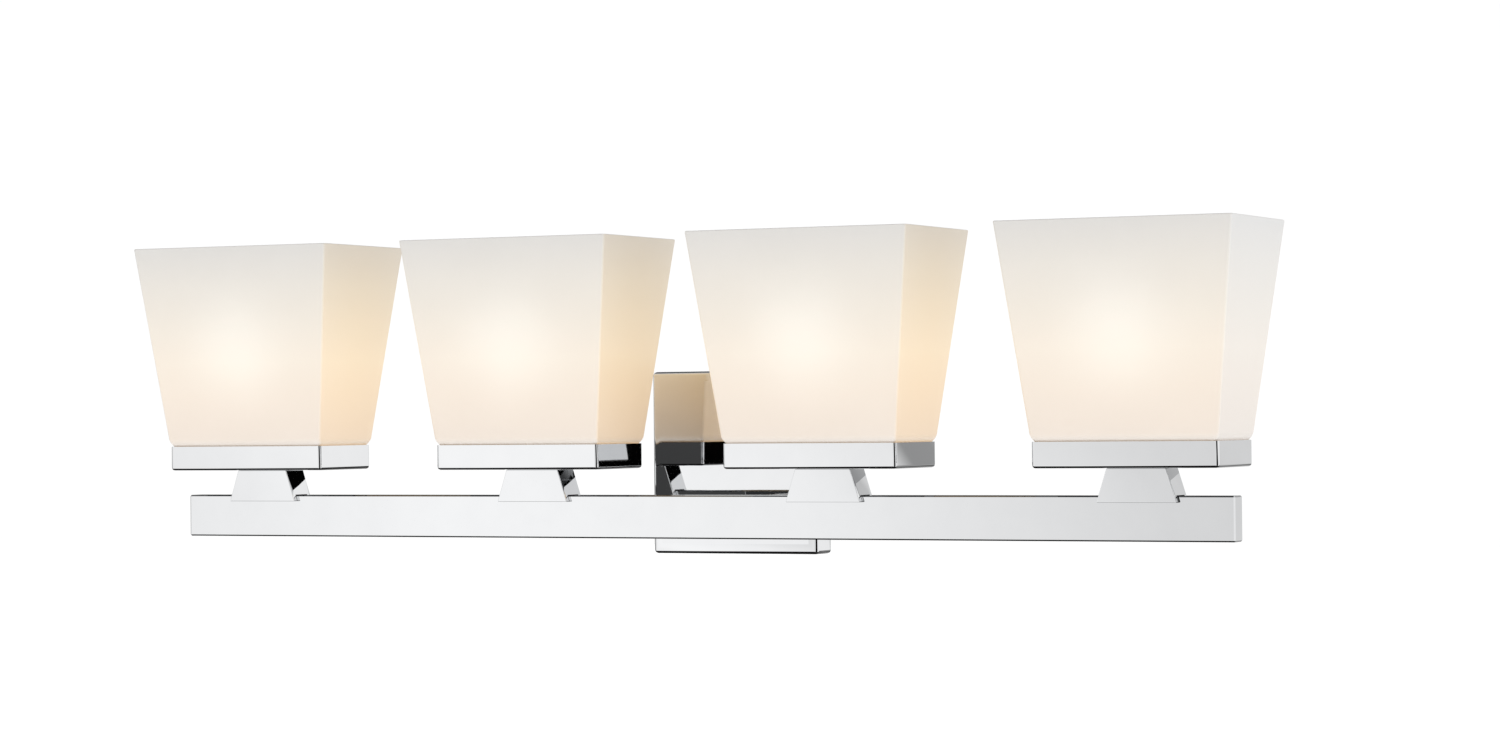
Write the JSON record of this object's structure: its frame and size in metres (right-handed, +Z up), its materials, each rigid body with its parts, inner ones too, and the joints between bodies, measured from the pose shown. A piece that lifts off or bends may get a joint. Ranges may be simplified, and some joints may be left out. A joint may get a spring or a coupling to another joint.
{
  "type": "vanity light bar",
  "caption": "Wall light for above a bathroom mirror: flared opal glass shades stand in chrome trays along a rectangular bar on a square wall plate.",
  "frame": {"origin": "centre of the wall plate's open back, on the wall", "axes": "+Z up, -Y out from the wall towards the room, +X along the bar to the right as seen from the room"},
  "size_m": [0.7828, 0.1473, 0.2088],
  "materials": {
    "chrome": "mirror polished",
    "opal_glass": "satin opal white, lit from inside",
    "porcelain": "glazed white",
    "brass": "bright stamped",
    "zinc_steel": "zinc plated",
    "ring_plastic": "moulded white",
    "bulb_glass": "soft white, lit",
    "bulb_cap": "rolled thread",
    "ground_green": "green passivated",
    "lead_white": "extruded insulation"
  },
  "bodies": {
    "root": {"backplate": "chrome", "wall_crossbar": "zinc_steel", "side_screw_left": "chrome", "side_screw_right": "chrome", "ground_screw": "ground_green", "neck": "chrome", "neck_tube": "zinc_steel", "neck_nut_bar": "zinc_steel", "neck_nut_plate": "zinc_steel", "bar": "chrome", "arm_1": "chrome", "tray_1": "chrome", "stem_1": "zinc_steel", "bar_nut_1": "zinc_steel", "lock_nut_1": "zinc_steel", "lampholder_1": "porcelain", "screw_shell_1": "brass", "lead_1": "lead_white", "arm_2": "chrome", "tray_2": "chrome", "stem_2": "zinc_steel", "bar_nut_2": "zinc_steel", "lock_nut_2": "zinc_steel", "lampholder_2": "porcelain", "screw_shell_2": "brass", "lead_2": "lead_white", "arm_3": "chrome", "tray_3": "chrome", "stem_3": "zinc_steel", "bar_nut_3": "zinc_steel", "lock_nut_3": "zinc_steel", "lampholder_3": "porcelain", "screw_shell_3": "brass", "lead_3": "lead_white", "arm_4": "chrome", "tray_4": "chrome", "stem_4": "zinc_steel", "bar_nut_4": "zinc_steel", "lock_nut_4": "zinc_steel", "lampholder_4": "porcelain", "screw_shell_4": "brass", "lead_4": "lead_white"},
    "shade_1": {"shade_1": "opal_glass"},
    "ring_1": {"shade_ring_1": "ring_plastic"},
    "lamp_1": {"bulb_1": "bulb_glass", "bulb_cap_1": "bulb_cap"},
    "shade_2": {"shade_2": "opal_glass"},
    "ring_2": {"shade_ring_2": "ring_plastic"},
    "lamp_2": {"bulb_2": "bulb_glass", "bulb_cap_2": "bulb_cap"},
    "shade_3": {"shade_3": "opal_glass"},
    "ring_3": {"shade_ring_3": "ring_plastic"},
    "lamp_3": {"bulb_3": "bulb_glass", "bulb_cap_3": "bulb_cap"},
    "shade_4": {"shade_4": "opal_glass"},
    "ring_4": {"shade_ring_4": "ring_plastic"},
    "lamp_4": {"bulb_4": "bulb_glass", "bulb_cap_4": "bulb_cap"}
  },
  "joints": [
    {"name": "shade_1_lift", "type": "slide", "parent": "root", "child": "shade_1", "axis": [0, 0, 1], "range_m": [0, 0.06]},
    {"name": "ring_1_lift", "type": "slide", "parent": "shade_1", "child": "ring_1", "axis": [0, 0, 1], "range_m": [0, 0.05]},
    {"name": "lamp_1_lift", "type": "slide", "parent": "ring_1", "child": "lamp_1", "axis": [0, 0, 1], "range_m": [0, 0.14]},
    {"name": "shade_2_lift", "type": "slide", "parent": "root", "child": "shade_2", "axis": [0, 0, 1], "range_m": [0, 0.06]},
    {"name": "ring_2_lift", "type": "slide", "parent": "shade_2", "child": "ring_2", "axis": [0, 0, 1], "range_m": [0, 0.05]},
    {"name": "lamp_2_lift", "type": "slide", "parent": "ring_2", "child": "lamp_2", "axis": [0, 0, 1], "range_m": [0, 0.14]},
    {"name": "shade_3_lift", "type": "slide", "parent": "root", "child": "shade_3", "axis": [0, 0, 1], "range_m": [0, 0.06]},
    {"name": "ring_3_lift", "type": "slide", "parent": "shade_3", "child": "ring_3", "axis": [0, 0, 1], "range_m": [0, 0.05]},
    {"name": "lamp_3_lift", "type": "slide", "parent": "ring_3", "child": "lamp_3", "axis": [0, 0, 1], "range_m": [0, 0.14]},
    {"name": "shade_4_lift", "type": "slide", "parent": "root", "child": "shade_4", "axis": [0, 0, 1], "range_m": [0, 0.06]},
    {"name": "ring_4_lift", "type": "slide", "parent": "shade_4", "child": "ring_4", "axis": [0, 0, 1], "range_m": [0, 0.05]},
    {"name": "lamp_4_lift", "type": "slide", "parent": "ring_4", "child": "lamp_4", "axis": [0, 0, 1], "range_m": [0, 0.14]}
  ]
}
